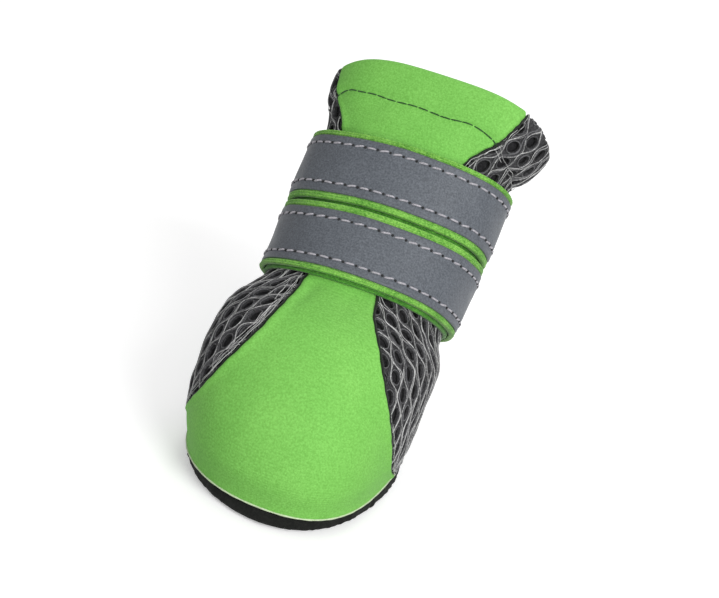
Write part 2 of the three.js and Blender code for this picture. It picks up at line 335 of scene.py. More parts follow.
def seam_angles(station):
    """Left and right seam, in radians, a little ragged as sewn edges are."""
    pair = np.radians(smooth_row(SEAMS, np.clip(station, 0, COLLAR_STATION)))
    shared = np.sin(31 * station)
    left, right = (np.sin(7 * station + k) + np.sin(17 * station + 3 * k) + shared for k in (1, 4))
    return pair[..., 0] + SEAM_RAG * left, pair[..., 1] + SEAM_RAG * right


def turning_radius(station, angle):
    """Millimetres along the surface for one radian round."""
    step = 0.01
    low, high = upper_point(station, angle - step), upper_point(station, angle + step)
    return np.linalg.norm(high - low, axis=-1) / (2 * step)


def past_seam(station, angle):
    """Millimetres outside the front panel; negative on the panel itself."""
    below = below_collar(station, angle)
    left, right = seam_angles(below)
    turned = wrapped(angle)
    outside = np.maximum(left - turned, turned - right)
    return outside * turning_radius(np.maximum(below, 0), angle)


def hem_below(angle):
    """Millimetres from the collar's edge down to the hem line, with its corners rounded off."""
    degrees = np.degrees(wrapped(angle))
    asides = (-7, -4, 0, 4, 7)
    return sum(np.interp(degrees + aside, HEM_DEGREES, HEM_DEPTHS) for aside in asides) / len(asides)


def hem_relief(station, angle):
    """The furrow along the hem line, and the doubled cloth above it."""
    above = hem_below(angle) - (collar_station(angle) - station) * COLLAR_STEP
    outside = station <= collar_station(angle) + 0.2
    furrow = -FURROW_DEPTH * np.exp(-((above / FURROW_WIDTH) ** 2)) * outside
    doubled = DOUBLED_CLOTH * smoothstep(above, 0.3, 2.2)
    return (furrow + doubled) * (station > HEM_START)


# ---- Mesh helpers ---------------------------------------------------------------------------


def grid_faces(rows, columns, close_rows=False, close_columns=False):
    """Four-cornered faces between the points of a grid."""
    row = np.arange(rows if close_rows else rows - 1)[:, None]
    column = np.arange(columns if close_columns else columns - 1)[None, :]
    next_row, next_column = (row + 1) % rows, (column + 1) % columns
    corners = (
        row * columns + column,
        row * columns + next_column,
        next_row * columns + next_column,
        next_row * columns + column,
    )
    return np.stack(np.broadcast_arrays(*corners), -1).reshape(-1, 4)


def wall_faces(top, bottom):
    """A strip of faces between two paths of point numbers."""
    return np.stack([top[1:], top[:-1], bottom[:-1], bottom[1:]], -1)


def thick_sheet(outer, inner, ring=False):
    """A closed sheet between two grids of points; ring joins its last row to its first."""
    rows, columns = outer.shape[:2]
    number = np.arange(rows * columns).reshape(rows, columns)
    under = number + rows * columns
    faces = grid_faces(rows, columns, close_rows=ring)
    parts = [faces, faces[:, ::-1] + rows * columns]
    edges = [number[:, -1], number[::-1, 0]]
    below = [under[:, -1], under[::-1, 0]]
    if ring:
        edges = [np.append(edge, edge[0]) for edge in edges]
        below = [np.append(edge, edge[0]) for edge in below]
    else:
        edges += [number[0], number[-1, ::-1]]
        below += [under[0], under[-1, ::-1]]
    parts += [wall_faces(edge, low) for edge, low in zip(edges, below)]
    return np.concatenate([outer.reshape(-1, 3), inner.reshape(-1, 3)]), parts


def tubes(paths, out, radius, sides=6, closed=False):
    """Round cords along equal paths (cord, point, 3); out is a direction square to each path."""
    cords, count = paths.shape[:2]
    if closed:
        ahead = unit(np.roll(paths, -1, 1) - np.roll(paths, 1, 1))
    else:
        ahead = unit(np.gradient(paths, axis=1))
    aside = unit(np.cross(ahead, out))
    over = np.cross(aside, ahead)
    turn = 2 * math.pi * np.arange(sides) / sides
    ring = np.cos(turn)[:, None] * over[..., None, :] + np.sin(turn)[:, None] * aside[..., None, :]
    width = np.broadcast_to(radius, (cords, count))[..., None, None]
    points = (paths[..., None, :] + width * ring).reshape(-1, 3)
    starts = (np.arange(cords) * count * sides)[:, None, None]
    faces = [(grid_faces(count, sides, closed, True) + starts).reshape(-1, 4)]
    if not closed:
        rim = np.arange(sides)
        faces.append((rim[::-1] + starts[:, 0]).reshape(-1, sides))
        faces.append((rim + (count - 1) * sides + starts[:, 0]).reshape(-1, sides))
    return points, faces


def joined(parts):
    """Several (points, faces) as one."""
    points, faces, start = [], [], 0
    for some_points, some_faces in parts:
        points.append(some_points)
        faces += [block + start for block in some_faces]
        start += len(some_points)
    return np.concatenate(points), faces


def signed_volume(points, faces):
    total = 0.0
    for block in faces:
        for k in range(1, block.shape[1] - 1):
            a, b, c = points[block[:, 0]], points[block[:, k]], points[block[:, k + 1]]
            total += np.einsum("ij,ij->i", a, np.cross(b, c)).sum()
    return total


def add_piece(name, shape, material, replaces=(), tone=None, uv=None):
    """Makes a piece from (points, faces), with its material and the nodes it stands for."""
    points, faces = shape
    if signed_volume(points, faces) < 0:
        faces = [block[:, ::-1] for block in faces]
    corners = np.concatenate([block.ravel() for block in faces])
    sizes = np.concatenate([np.full(len(block), block.shape[1]) for block in faces])
    mesh = bpy.data.meshes.new(name)
    mesh.vertices.add(len(points))
    mesh.vertices.foreach_set("co", (points * METRES).astype(np.float32).ravel())
    mesh.loops.add(len(corners))
    mesh.loops.foreach_set("vertex_index", corners.astype(np.int32))
    mesh.polygons.add(len(sizes))
    mesh.polygons.foreach_set("loop_start", (np.cumsum(sizes) - sizes).astype(np.int32))
    mesh.polygons.foreach_set("use_smooth", np.ones(len(sizes), bool))
    mesh.update(calc_edges=True)
    if tone is not None:
        mesh.attributes.new("tone", "FLOAT", "POINT").data.foreach_set("value", tone.astype(np.float32))
    if uv is not None:
        layer = mesh.uv_layers.new(name="Cloth")
        layer.data.foreach_set("uv", uv[corners].astype(np.float32).ravel())
    mesh.validate()
    mesh.materials.append(material)
    piece = bpy.data.objects.new(name, mesh)
    bpy.context.scene.collection.objects.link(piece)
    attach(piece, "root")
    if replaces:
        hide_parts(*replaces)
    return piece


def arc_lengths(path):
    """Distance from the start at each point of a path."""
    steps = np.linalg.norm(np.diff(path, axis=0), axis=1)
    return np.concatenate([[0], np.cumsum(steps)])


def wobble(distance, size, wave, seed):
    """A smooth irregular line: three waves of unrelated lengths."""
    phase = np.random.default_rng(seed).uniform(0, 2 * math.pi, 3)
    waves = [np.sin(2 * math.pi * distance / (wave * k) + p) / 2 for k, p in zip((1, 1.73, 3.1), phase)]
    return size * sum(waves)


# ---- Materials --------------------------------------------------------------------------------


def node(tree, kind, settings=None, **inputs):
    """Adds a shader node; each input is a value or another node's socket."""
    made = tree.nodes.new("ShaderNode" + kind)
    for name, value in (settings or {}).items():
        setattr(made, name, value)
    for name, value in inputs.items():
        socket = made.inputs[int(name[1:]) if name[1:].isdigit() else name]
        if isinstance(value, bpy.types.NodeSocket):
            tree.links.new(value, socket)
        else:
            socket.default_value = value
    return made


def new_material(name, roughness, shader):
    """A material whose shader sockets are set directly; returns it, its tree and its shader."""
    material = bpy.data.materials.new(name)
    material.use_nodes = True
    tree = material.node_tree
    bsdf = tree.nodes["Principled BSDF"]
    bsdf.inputs["Roughness"].default_value = roughness
    for socket, value in shader.items():
        bsdf.inputs[socket].default_value = value
    return material, tree, bsdf


def millimetres(tree):
    """The piece's own coordinates, in millimetres."""
    place = node(tree, "TexCoord").outputs["Object"]
    return node(tree, "VectorMath", {"operation": "SCALE"}, i0=place, Scale=1 / METRES).outputs[0]


def noise(tree, place, size, detail=3.0, rough=0.55):
    """Noise whose lumps are about size millimetres."""
    made = node(tree, "TexNoise", Vector=place, Scale=1 / size, Detail=detail, Roughness=rough)
    return made.outputs["Fac"]


def ramp(tree, value, low_at, low, high_at, high):
    """A colour that goes from low to high as the value rises."""
    made = node(tree, "ValToRGB", Fac=value)
    for stop, place, colour in zip(made.color_ramp.elements, (low_at, high_at), (low, high)):
        stop.position, stop.color = place, (*colour, 1)
    return made.outputs["Color"]


def paint(tree, bsdf, socket, colour):
    tree.links.new(colour, bsdf.inputs[socket])


def math_node(tree, operation, first, second):
    return node(tree, "Math", {"operation": operation}, i0=first, i1=second).outputs[0]


def weighted(tree, *pairs):
    """The sum of several values, each times its own weight."""
    parts = [math_node(tree, "MULTIPLY", value, weight) for value, weight in pairs]
    total = parts[0]
    for part in parts[1:]:
        total = math_node(tree, "ADD", total, part)
    return total


def flecked(tree, body, fleck):
    """A body colour times a finer one."""
    kind = {"data_type": "RGBA", "blend_type": "MULTIPLY"}
    return node(tree, "Mix", kind, i0=1.0, i6=body, i7=fleck).outputs[2]


def bump(tree, bsdf, height, strength, distance):
    """Fine relief; distance is in millimetres."""
    made = node(tree, "Bump", Height=height, Strength=strength, Distance=distance * METRES)
    tree.links.new(made.outputs["Normal"], bsdf.inputs["Normal"])


def knit_height(tree, uv_name, pitch):
    """Rows of small leaning stitches on a piece's own cloth coordinates."""
    place = node(tree, "UVMap", {"uv_map": uv_name}).outputs["UV"]
    split = node(tree, "SeparateXYZ", Vector=place)
    across = math_node(tree, "MULTIPLY", split.outputs["X"], 2 * math.pi / pitch)
    lean = math_node(tree, "ABSOLUTE", math_node(tree, "SINE", across, 0.0), 0.0)
    shifted = weighted(tree, (split.outputs["Y"], 2 * math.pi / (0.8 * pitch)), (lean, 2.2))
    rows = math_node(tree, "SINE", shifted, 0.0)
    return math_node(tree, "MULTIPLY", rows, math_node(tree, "ADD", lean, 0.35))


def front_cloth():
    """Green stretch cloth with a fine close knit, softly mottled."""
    shader = {"Specular IOR Level": 0.28, "Sheen Weight": 0.12, "Sheen Roughness": 0.45}
    material, tree, bsdf = new_material("front_cloth", 0.72, shader)
    bsdf.inputs["Sheen Tint"].default_value = (0.5, 1.0, 0.4, 1)
    place = millimetres(tree)
    grain = noise(tree, place, 0.42, 1.0, 0.7)
    mottle = noise(tree, place, 14.0, 2.0)
    body = ramp(tree, mottle, 0.3, (0.205, 0.575, 0.098), 0.7, (0.232, 0.612, 0.112))
    fleck = ramp(tree, grain, 0.3, (0.78, 0.82, 0.72), 0.72, (1.12, 1.08, 1.16))
    paint(tree, bsdf, "Base Color", flecked(tree, body, fleck))
    knit = knit_height(tree, "Cloth", 0.62)
    bump(tree, bsdf, weighted(tree, (knit, 0.35), (grain, 1.0)), 0.35, 0.12)
    return material


def grained(name, roughness, shader, size, low, high, relief, detail=2.0, span=(0.3, 0.7)):
    """A grained material: low and high are its colours, and relief is its bump's strength and depth."""
    material, tree, bsdf = new_material(name, roughness, shader)
    grain = noise(tree, millimetres(tree), size, detail, 0.7)
    paint(tree, bsdf, "Base Color", ramp(tree, grain, span[0], low, span[1], high))
    bump(tree, bsdf, grain, *relief)
    return material


def dark_cloth(name, low, high, size):
    """Close dark cloth behind the net and inside the boot."""
    shader = {"Specular IOR Level": 0.2, "Sheen Weight": 0.1}
    return grained(name, 0.9, shader, size, low, high, (0.6, 0.2), span=(0.35, 0.7))


def sewing_thread(name, low, high, roughness):
    """Twisted thread."""
    return grained(name, roughness, {"Sheen Weight": 0.15}, 0.3, low, high, (0.5, 0.08))


def net_yarn(name, low, high, roughness, sheen):
    """Grey yarn: tone makes one yarn lighter than the next, and fine strands run over it. With the
    near-white colours of the net's filaments, the light yarns are painted glints.
    """
    shader = {"Specular IOR Level": 0.4, "Sheen Weight": sheen}
    material, tree, bsdf = new_material(name, roughness, shader)
    place = millimetres(tree)
    tone = node(tree, "Attribute", {"attribute_name": "tone"}).outputs["Fac"]
    strands = noise(tree, place, 0.45, 2.0, 0.8)
    patches = noise(tree, place, 5.0, 2.0)
    shaded = weighted(tree, (strands, 0.9), (tone, 0.3), (patches, 0.18))
    paint(tree, bsdf, "Base Color", ramp(tree, shaded, 0.42, low, 0.94, high))
    bump(tree, bsdf, strands, 0.5, 0.12)
    return material


def reflective_film():
    """Grey reflective tape: satin, with bead grain and faint rubbed patches."""
    shader = {"Specular IOR Level": 0.3, "Sheen Weight": 0.05}
    material, tree, bsdf = new_material("reflective_film", 0.5, shader)
    place = millimetres(tree)
    beads = noise(tree, place, 0.4, 1.0, 0.7)
    rubbed = noise(tree, place, 6.0, 5.0, 0.65)
    body = ramp(tree, rubbed, 0.3, (0.110, 0.122, 0.140), 0.7, (0.126, 0.139, 0.158))
    fleck = ramp(tree, beads, 0.3, (0.72, 0.72, 0.73), 0.72, (1.3, 1.3, 1.3))
    paint(tree, bsdf, "Base Color", flecked(tree, body, fleck))
    paint(tree, bsdf, "Roughness", ramp(tree, rubbed, 0.3, (0.42,) * 3, 0.75, (0.62,) * 3))
    bump(tree, bsdf, beads, 0.25, 0.05)
    return material


def woven_edge(name, low, high):
    """Green woven tape whose threads and pile are lighter in patches."""
    shader = {"Specular IOR Level": 0.25, "Sheen Weight": 0.25, "Sheen Roughness": 0.4}
    material, tree, bsdf = new_material(name, 0.75, shader)
    place = millimetres(tree)
    threads = noise(tree, place, 0.45, 2.0, 0.8)
    mixed = weighted(tree, (threads, 0.7), (noise(tree, place, 4.0, 3.0), 0.3))
    paint(tree, bsdf, "Base Color", ramp(tree, mixed, 0.35, low, 0.66, high))
    bump(tree, bsdf, threads, 0.6, 0.15)
    return material


def sole_rubber():
    """Black rubber with a granular, slightly dusty skin."""
    low, high = (0.004, 0.0045, 0.004), (0.013, 0.014, 0.012)
    shader = {"Specular IOR Level": 0.22}
    material = grained("sole_rubber", 0.82, shader, 0.5, low, high, (0.7, 0.25), 3.0, (0.35, 0.75))
    tree = material.node_tree
    dust = ramp(tree, noise(tree, millimetres(tree), 5.0, 4.0), 0.35, (0.72,) * 3, 0.7, (0.92,) * 3)
    paint(tree, tree.nodes["Principled BSDF"], "Roughness", dust)
    return material


def floor_finish():
    """Matt white that glows a little, as a lit paper sweep does."""
    shader = {"Specular IOR Level": 0.1, "Emission Color": (1, 1, 1, 1), "Emission Strength": 0.32}
    material, tree, bsdf = new_material("floor_finish", 0.9, shader)
    soft = noise(tree, millimetres(tree), 120.0, 2.0)
    paint(tree, bsdf, "Base Color", ramp(tree, soft, 0.3, (0.95,) * 3, 0.7, (0.965,) * 3))
    return material


# ---- Front panel, lining and net ------------------------------------------------------------

CLOTH_THICKNESS = 0.8
PANEL_ROWS = 190
PANEL_COLUMNS = 96
PUFF_HEIGHT, PUFF_WIDTH = 0.38, 1.1
PUFF_PLACE = 1.25  # how far inside its seam the green cloth swells most
SEAM_TURN_IN, SEAM_TURN_WIDTH = 0.62, 0.42
EDGE_TURN_IN, EDGE_TURN_WIDTH = 0.3, 0.4
LINING_BELOW_RIM = 0.15
LINING_DEPTHS = (-0.95, -1.12)  # its two faces, from the wall's outer face
BELOW_HEM = 0.8  # how much thicker the lining is below the cloth turned in at the collar


def rim_stations(angle, rows, inside):
    """Stations from the lower edge up to the collar, over its rim and to a depth inside."""
    top = collar_station(angle)
    over = math.pi * RIM_RADIUS / COLLAR_STEP
    rise, bend = int(rows * 0.78), 12
    up, across = (np.linspace(0, 1, count, endpoint=False)[:, None] for count in (rise, bend))
    down = np.linspace(0, 1, rows - rise - bend)[:, None]
    return np.concatenate([up * top, top + across * over, top + over + down * (inside / COLLAR_STEP)])


def panel_share_angle(station, share):
    left, right = seam_angles(station)
    return left + share * (right - left)


def seam_puff(station, angle):
    """How the green cloth swells beside its seams, where the straps leave it free."""
    top = collar_station(angle)
    from_crest = past_seam(station, angle) + PUFF_PLACE
    swell = PUFF_HEIGHT * np.exp(-((from_crest / PUFF_WIDTH) ** 2))
    free = outside_straps(np.minimum(station, top), angle)
    return swell * free * (1 - 0.8 * smoothstep(station, top - 1.0, top - 0.2))


def front_panel(material):
    """The green cloth from seam to seam, puffed beside the seams and hemmed over the collar."""
    share = np.linspace(0, 1, PANEL_COLUMNS)
    share = share - 0.03 * np.sin(4 * math.pi * share)  # closer at the seams and in the middle
    rough_station = np.linspace(0, COLLAR_STATION, PANEL_ROWS)[:, None]
    angle = panel_share_angle(rough_station, share)
    for _ in range(4):
        station = rim_stations(angle[-1], PANEL_ROWS, HEM_INSIDE)
        angle = panel_share_angle(below_collar(station, angle), share)
    turned_in = -SEAM_TURN_IN * np.exp(-((past_seam(station, angle) / SEAM_TURN_WIDTH) ** 2))
    lower_edge = -EDGE_TURN_IN * np.exp(-((station * FOOT_STEP / EDGE_TURN_WIDTH) ** 2))
    lift = seam_puff(station, angle) + turned_in + lower_edge + hem_relief(station, angle)
    outer = cloth_point(station, angle, lift)
    inner = cloth_point(station, angle, -CLOTH_THICKNESS + np.minimum(lift, 0) * 0.1)
    radius = turning_radius(np.maximum(below_collar(station, angle), 0), angle)
    uv = np.stack([angle * radius, station * COLLAR_STEP], -1).reshape(-1, 2)
    shape = thick_sheet(outer, inner)
    add_piece("front_panel", shape, material, ("upper",), uv=np.concatenate([uv, uv]))


def lining(material):
    """The dark wall behind the net, which is also the boot's inside."""
    angle = np.linspace(-math.pi, math.pi, 100, endpoint=False)[:, None]
    share = np.linspace(0, 1, 62)
    top = collar_station(angle) - LINING_BELOW_RIM / COLLAR_STEP
    station = share * top
    below_hem = smoothstep((top - station) * COLLAR_STEP, HEM_INSIDE, HEM_INSIDE + 2)
    outer = cloth_point(station, angle, LINING_DEPTHS[0])
    inner = cloth_point(station, angle, LINING_DEPTHS[1] - BELOW_HEM * below_hem)
    add_piece("lining", thick_sheet(outer, inner, ring=True), material)


NET_PITCH = 4.6  # between the middles of two holes
NET_ROW = NET_PITCH * math.sqrt(3) / 2
HOLE_LONG = 1.6  # half the hole's length
HOLE_SHORT = 1.2
RIM_POINTS = 24
NET_BOTTOM = -0.78  # the ground's two faces, above the wall's outer face
NET_TOP = -0.1
SEAM_REACH = 0.15  # how far round the net runs under the front panel
NET_FAN = 0.0036  # how far the columns turn, in radians a millimetre across
# The net's two stretches: lowest station, highest station and tilt of its rows.
FOOT_NET = (-0.25, 4.5, math.radians(10))
COLLAR_NET = (5.5, None, math.radians(4))
NET_GRID = (81, 121)
UNDER_STRAPS = (4.11, 5.85)  # the stations that the straps hide
CHART_MARGIN = 6.0
YARN_STEP = 0.55  # millimetres between the points of a yarn
SQUEEZED_THIN = 0.85  # the share of a yarn's thickness that it loses under the front panel
SQUEEZED_FLAT = 0.93  # the share of the net's own height that it loses there
RIM_CLOSING = 0.75  # the share of its size that a hole on the collar's rim loses
SPRING_KEEP, SPRING_PULL, SPRING_SHORTEST = 0.95, 0.5, 0.05


def flattened(points, rounds=2000):
    """Lays a grid of surface points out flat with the least stretching, as springs come to rest."""
    rows, columns = points.shape[:2]
    across = np.linalg.norm(np.diff(points, axis=1), axis=-1)
    along = np.linalg.norm(np.diff(points, axis=0), axis=-1)
    x = np.concatenate([np.zeros((rows, 1)), np.cumsum(across, 1)], 1)
    x -= x[:, [columns // 2]]
    y = np.concatenate([np.zeros((1, columns)), np.cumsum(along, 0)])
    flat = np.stack([x, y], -1)
    whole = slice(None)
    ahead, behind = slice(1, None), slice(None, -1)
    links = (
        ((whole, behind), (whole, ahead)),
        ((behind, whole), (ahead, whole)),
        ((behind, behind), (ahead, ahead)),
        ((behind, ahead), (ahead, behind)),
    )
    lengths = [np.linalg.norm(points[a] - points[b], axis=-1) for a, b in links]
    ties = np.zeros((rows, columns, 1))
    for a, b in links:
        ties[a] += 1
        ties[b] += 1
    speed = np.zeros_like(flat)
    for _ in range(rounds):
        move = np.zeros_like(flat)
        for (a, b), length in zip(links, lengths):
            gap = flat[b] - flat[a]
            now = np.maximum(np.linalg.norm(gap, axis=-1), SPRING_SHORTEST)
            pull = gap * ((now - length) / now / 2)[..., None]
            move[a] += pull
            move[b] -= pull
        speed = SPRING_KEEP * speed + SPRING_PULL * move / ties
        flat += speed
    return flat


class NetChart:
    """Finds the station and angle of any point of the flat net, below the straps or above them."""

    def __init__(self, low, high, tilt):
        """high is None where the net goes over the collar's rim and down the inside."""
        self.tilt = tilt
        up, side = (np.linspace(0, 1, count) for count in NET_GRID)
        up = up[:, None]
        station = low + 0 * up
        angle = np.zeros(NET_GRID)
        for _ in range(5):
            left, right = seam_angles(below_collar(station, angle))
            angle = (right - SEAM_REACH) + side * (2 * math.pi + left - right + 2 * SEAM_REACH)
            inside = collar_station(angle) + (math.pi * RIM_RADIUS + HEM_INSIDE) / COLLAR_STEP
            end = np.full_like(angle, high) if high else inside
            station = low + up * (end - low)
        self.station, self.angle = station, angle
        self.flat = flattened(cloth_point(station, angle, 0.0))
        quads = grid_faces(*station.shape)
        self.triangles = np.concatenate([quads[:, [0, 1, 2]], quads[:, [0, 2, 3]]])
        self.corners = self.flat.reshape(-1, 2)
        points = [Vector((x, y, 0)) for x, y in self.corners]
        self.tree = BVHTree.FromPolygons(points, self.triangles.tolist())

    def place(self, spots):
        """Station, angle and whether it is on the net, for flat spots (count, 2)."""
        found = np.zeros(len(spots), int)
        low, high = self.corners.min(0) - CHART_MARGIN, self.corners.max(0) + CHART_MARGIN
        inside = ((spots > low) & (spots < high)).all(-1)
        nearest = np.array(spots, float)
        for i in np.flatnonzero(inside):
            x, y = spots[i]
            spot, _, index, _ = self.tree.ray_cast(Vector((x, y, 1)), Vector((0, 0, -1)))
            if index is None:
                spot, _, index, _ = self.tree.find_nearest(Vector((x, y, 0)))
                inside[i] = False
            found[i] = index
            nearest[i] = spot.x, spot.y
        a, b, c = np.moveaxis(self.triangles[found], -1, 0)
        pa, pb, pc = self.corners[a], self.corners[b], self.corners[c]
        whole = np.cross(pb - pa, pc - pa)
        share_b = np.cross(nearest - pa, pc - pa) / whole
        share_c = np.cross(pb - pa, nearest - pa) / whole
        values = np.stack([self.station.ravel(), self.angle.ravel()], -1)
        mixed = values[a] + share_b[:, None] * (values[b] - values[a])
        mixed += share_c[:, None] * (values[c] - values[a])
        return mixed[:, 0], mixed[:, 1], inside

    def seen(self, spots):
        """The same, and whether the spot is neither under a strap nor far under the front panel."""
        station, angle, inside = self.place(spots)
        level = station - STRAP_TILT * np.sin(angle) / STRAP_SPACING
        under_strap = (level > UNDER_STRAPS[0]) & (level < UNDER_STRAPS[1])
        beside = past_seam(station, angle) > -0.9
        return station, angle, inside & ~under_strap & beside & (station > -0.12)

    def spots(self, places):
        """Flat places, from millimetres across and up the net's own rows, which fan out a little."""
        across, up = np.moveaxis(places, -1, 0)
        middle = (self.corners.min(0) + self.corners.max(0)) / 2
        fan = self.tilt + NET_FAN * across
        x = across * math.cos(self.tilt) - up * np.sin(fan)
        y = across * math.sin(self.tilt) + NET_FAN * across**2 / 2 + up * np.cos(fan)
        return middle + np.stack([x, y], -1)

    def reach(self):
        """Rows and columns from the middle that are sure to cover the net."""
        return int(np.ptp(self.corners, axis=0).max() / 2 / NET_ROW) + 2


def net_cells(chart):
    """Middles of the holes that show, and how far each is drawn shut by the fold over the rim."""
    count = np.arange(-chart.reach(), chart.reach() + 1)
    row, column = (grid.ravel() for grid in np.meshgrid(count, count, indexing="ij"))
    middles = np.stack([(column + 0.5 * (row % 2)) * NET_PITCH, row * NET_ROW], -1)
    station, angle, seen = chart.seen(chart.spots(middles))
    from_fold = (station - collar_station(angle)) * COLLAR_STEP - math.pi * RIM_RADIUS / 2
    closing = 1 - RIM_CLOSING * np.exp(-((from_fold / 1.8) ** 2))
    return middles[seen], closing[seen]


def cell_rings(chart, cells, closing):
    """For each cell the flat outline of its hole and of its six-sided border."""
    turn = 2 * math.pi * np.arange(RIM_POINTS) / RIM_POINTS
    sector = (turn + math.pi / 6) % (math.pi / 3) - math.pi / 6
    border = NET_PITCH / 2 / np.cos(sector)
    size = chance.uniform(0.9, 1.1, (len(cells), 1)) * closing[:, None]
    swing = chance.uniform(-0.3, 0.3, (len(cells), 1))
    local = turn + swing
    hole = size / np.sqrt((np.cos(local) / HOLE_SHORT) ** 2 + (np.sin(local) / HOLE_LONG) ** 2)
    way = np.stack([np.cos(turn), np.sin(turn)], -1)
    middles = cells[:, None]
    return chart.spots(middles + hole[..., None] * way), chart.spots(middles + border[:, None] * way)


def under_panel(station, angle):
    """0 on the open net, rising to 1 where it runs under the front panel's edge."""
    return smoothstep(-past_seam(station, angle), -0.5, 0.25)


def net_lift(station, angle, height):
    """Height above the wall, squeezed flat where the net runs under the front panel's edge."""
    under = under_panel(station, angle)
    floor = NET_BOTTOM - 0.08
    squeezed = floor + (height - floor) * (1 - SQUEEZED_FLAT * under)
    return squeezed + hem_relief(station, angle) * (1 - under) * (height > NET_BOTTOM + 0.01)


def net_point(chart, spots, height):
    station, angle, _ = chart.place(spots.reshape(-1, 2))
    lift = net_lift(station, angle, np.broadcast_to(height, spots.shape[:-1]).ravel())
    return cloth_point(station, angle, lift).reshape(*spots.shape[:-1], 3)


def net_sheet(chart, hole, border):
    """The dark ground of the net: a sheet pierced by every hole."""
    keys = np.round(border.reshape(-1, 2), 2)
    _, first, number = np.unique(keys, axis=0, return_index=True, return_inverse=True)
    number = number.reshape(border.shape[:2])
    shared = border.reshape(-1, 2)[first]
    count = len(shared)
    blocks = [net_point(chart, shared, NET_TOP), net_point(chart, shared, NET_BOTTOM)]
    start = 2 * count
    numbers = []
    # up the wall of each hole and over its rounded lip
    for share, height in ((0.0, NET_BOTTOM), (0.0, -0.36), (0.2, -0.13)):
        spots = hole + share * (border - hole)
        blocks.append(net_point(chart, spots, height).reshape(-1, 3))
        numbers.append(start + np.arange(number.size).reshape(number.shape))
        start += number.size
    loops = [number + count, *numbers, number]
    faces = []
    for inner, outer in zip(loops, loops[1:]):
        corners = (inner, np.roll(inner, -1, 1), np.roll(outer, -1, 1), outer)
        faces.append(np.stack(corners, -1).reshape(-1, 4))
    ends = np.stack([number, np.roll(number, -1, 1)], -1).reshape(-1, 2)
    known = {(int(a), int(b)) for a, b in ends}
    rim = np.array(sorted((a, b) for a, b in known if (b, a) not in known))
    faces.append(np.stack([rim[:, 0], rim[:, 1], rim[:, 1] + count, rim[:, 0] + count], -1))
    return np.concatenate(blocks), faces


def net_rims(chart, hole, border):
    """The yarn that binds the edge of each hole."""
    spots = hole + 0.13 * (border - hole)
    station, angle, _ = chart.place(spots.reshape(-1, 2))
    paths = cloth_point(station, angle, net_lift(station, angle, -0.04)).reshape(*spots.shape[:-1], 3)
    out = cloth_out(station, angle).reshape(paths.shape)
    thick = 0.13 * (1 - SQUEEZED_THIN * under_panel(station, angle))
    return tubes(paths, out, thick.reshape(paths.shape[:2]), sides=4, closed=True)


def stretches(kept, shortest=5):
    """Start and end of each unbroken run of kept points."""
    edges = np.flatnonzero(np.diff(np.concatenate([[0], kept.astype(int), [0]])))
    return [(start, end) for start, end in zip(edges[::2], edges[1::2]) if end - start >= shortest]


def net_runs(chart, count, swings, spread):
    """Yarns that zigzag up between columns of holes, count pairs to each column.

    A run holds its station, its angle and whether it passes over or under.
    """
    up = np.arange(-chart.reach() * NET_ROW, chart.reach() * NET_ROW, YARN_STEP)
    sway = np.cos(math.pi * up / NET_ROW)
    runs = []
    for column in range(-chart.reach(), chart.reach() + 1):
        for side in (-1, 1) * count:
            swing = chance.uniform(*swings)
            aside = chance.uniform(-spread, spread) + wobble(up, 0.13, 3.3, int(chance.integers(10**6)))
            across = (column + 0.5) * NET_PITCH + side * (NET_PITCH / 4 - swing * sway) + aside
            station, angle, seen = chart.seen(chart.spots(np.stack([across, up], -1)))
            for start, end in stretches(seen):
                runs.append(np.stack([station, angle, side * sway])[:, start:end])
    return runs


def yarn_piece(name, runs, height, weave, radius, material):
    """One piece of many yarns that lie on the net and pass over and under each other."""
    sides = 4
    station, angle, over = np.concatenate(runs, axis=1)
    path = cloth_point(station, angle, net_lift(station, angle, height + weave * over))
    out = cloth_out(station, angle)
    thick = radius * (1 - SQUEEZED_THIN * under_panel(station, angle))
    parts, tones = [], []
    start = 0
    for run in runs:
        end = start + run.shape[1]
        parts.append(tubes(path[None, start:end], out[None, start:end], thick[None, start:end], sides))
        travelled = YARN_STEP * np.arange(end - start)
        tone = chance.uniform(0, 1) + wobble(travelled, 0.3, 4, int(chance.integers(10**6)))
        tones.append(np.repeat(tone, sides))
        start = end
    add_piece(name, joined(parts), material, tone=np.concatenate(tones))


# ---- Seams and threads -------------------------------------------------------------------------

STATION_STEP = 9  # about how many millimetres there are in one station
HEM_STATION = 7.0


def cord(station, angle, lift, radius, sides):
    """A round cord along a line on the cloth."""
    path = cloth_point(station, angle, lift)[None]
    return tubes(path, cloth_out(station, angle)[None], radius, sides)


def seam_line(side, beyond, stations):
    """Angles of a line that runs beside a seam, beyond millimetres outside it."""
    seam = seam_angles(stations)[side]
    way = (-1, 1)[side]
    return seam + way * beyond / turning_radius(stations, seam)


def seam_shade_threads(material):
    """The sunken thread where the net meets the front panel: dark thread, made near black as painted
    shade of the seam's groove.
    """
    parts = []
    for side in (0, 1):
        for low, high in ((0.06, 3.99), (5.99, 7.95)):
            stations = np.linspace(low, high, 220)
            travelled = stations * STATION_STEP
            angle = seam_line(side, 0.16 + wobble(travelled, 0.12, 2.6, 3 + side), stations)
            thick = 0.3 + wobble(travelled, 0.07, 1.7, 13 + side)
            parts.append(cord(stations, angle, -0.34, thick, 8))
    add_piece("seam_shade_threads", joined(parts), material)


